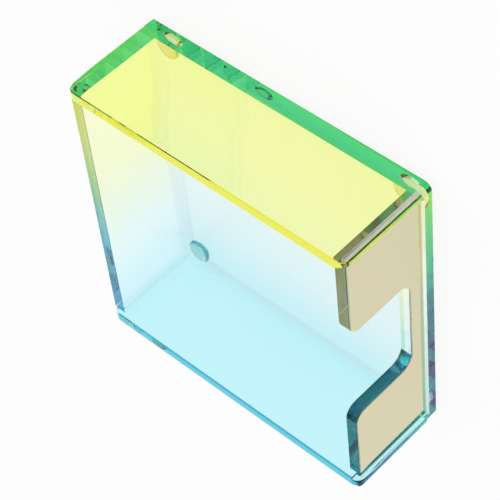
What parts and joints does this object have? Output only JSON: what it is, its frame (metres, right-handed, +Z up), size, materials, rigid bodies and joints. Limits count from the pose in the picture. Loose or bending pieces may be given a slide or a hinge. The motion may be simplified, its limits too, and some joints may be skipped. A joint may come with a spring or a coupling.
{
  "type": "note box",
  "caption": "Low open-topped square box of clear tinted acrylic sheet for loose notes, with a mirrored front that has a finger notch, and round rubber bumper feet.",
  "frame": {"origin": "on the table under the middle of the base plate, at the level of the feet's flats", "axes": "+Z up through the open top as the box is used, -Y towards the mirrored front with the finger notch, +X towards the yellow side plate and -X towards the blue one"},
  "size_m": [0.1, 0.1, 0.0366],
  "materials": {
    "acrylic_fade": "clear polished acrylic whose tint fades from yellow at +X to cyan blue at -X",
    "acrylic_yellow": "clear polished acrylic with a lemon yellow tint",
    "acrylic_blue": "clear polished acrylic with a cyan blue tint",
    "acrylic_clear": "clear polished acrylic without tint",
    "gold_mirror": "pale gold mirror film, flat and bright",
    "clear_rubber": "clear soft bumper rubber, slightly satin",
    "clear_adhesive": "thin clear self-adhesive layer"
  },
  "bodies": {
    "root": {"base_plate": "acrylic_fade", "side_plate_right": "acrylic_yellow", "side_plate_left": "acrylic_blue", "front_wall": "acrylic_fade", "facing_plate": "acrylic_clear", "mirror_film": "gold_mirror", "back_wall": "acrylic_fade", "foot_front_left": "clear_rubber", "foot_front_right": "clear_rubber", "foot_back_left": "clear_rubber", "foot_back_right": "clear_rubber", "adhesive_front_left": "clear_adhesive", "adhesive_front_right": "clear_adhesive", "adhesive_back_left": "clear_adhesive", "adhesive_back_right": "clear_adhesive"}
  },
  "joints": []
}
